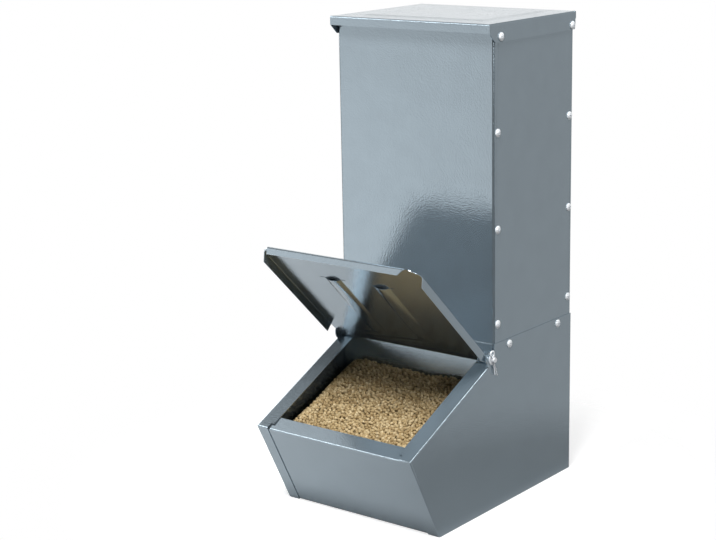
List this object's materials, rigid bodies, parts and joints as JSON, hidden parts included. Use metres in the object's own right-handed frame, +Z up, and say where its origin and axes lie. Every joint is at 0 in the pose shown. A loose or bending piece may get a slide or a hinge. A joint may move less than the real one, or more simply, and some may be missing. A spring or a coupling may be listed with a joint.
{
  "type": "pig feeder",
  "caption": "Free-standing gravity feeder in folded painted sheet steel: tall hopper with a hinged lid, flared base, and a lifting flap over the feed trough",
  "frame": {"origin": "on the ground, in the middle of the footprint", "axes": "+X to the feeder's own left-to-right as seen from the trough, +Y to the back, +Z up"},
  "size_m": [0.3158, 0.4571, 0.7722],
  "materials": {
    "painted_steel": "gloss powder coat with a fine orange-peel texture",
    "zinc_steel": "bright zinc plate",
    "feed_pellets": "loose pressed pellets"
  },
  "bodies": {
    "feeder_body": {"hopper_front_panel": "painted_steel", "hopper_back_panel": "painted_steel", "hopper_left_side": "painted_steel", "hopper_right_side": "painted_steel", "hopper_screws": "zinc_steel", "hopper_nuts": "zinc_steel", "lid_pivot_screws": "zinc_steel", "lid_pivot_washers": "zinc_steel", "lid_pivot_nuts": "zinc_steel", "lid_rest_screws": "zinc_steel", "lid_rest_washers": "zinc_steel", "lid_rest_nuts": "zinc_steel", "base_left_side": "painted_steel", "base_right_side": "painted_steel", "trough_front": "painted_steel", "base_back": "painted_steel", "base_floor": "painted_steel", "throat_panel": "painted_steel", "feed_chute": "painted_steel", "base_screws": "zinc_steel", "base_nuts": "zinc_steel", "flap_hinge_rod": "zinc_steel", "hinge_washers": "zinc_steel", "hinge_split_pins": "zinc_steel", "feed_fill": "feed_pellets"},
    "lid": {"top_lid": "painted_steel"},
    "flap": {"trough_flap": "painted_steel"}
  },
  "joints": [
    {"name": "lid_hinge", "type": "hinge", "parent": "feeder_body", "child": "lid", "pos_m": [0, 0.1818, 0.749], "axis": [-1, 0, 0], "range_deg": [0, 95]},
    {"name": "flap_hinge", "type": "hinge", "parent": "feeder_body", "child": "flap", "pos_m": [0, -0.0472, 0.24906], "axis": [-1, 0, 0], "range_deg": [-68.6, 46.5]}
  ]
}
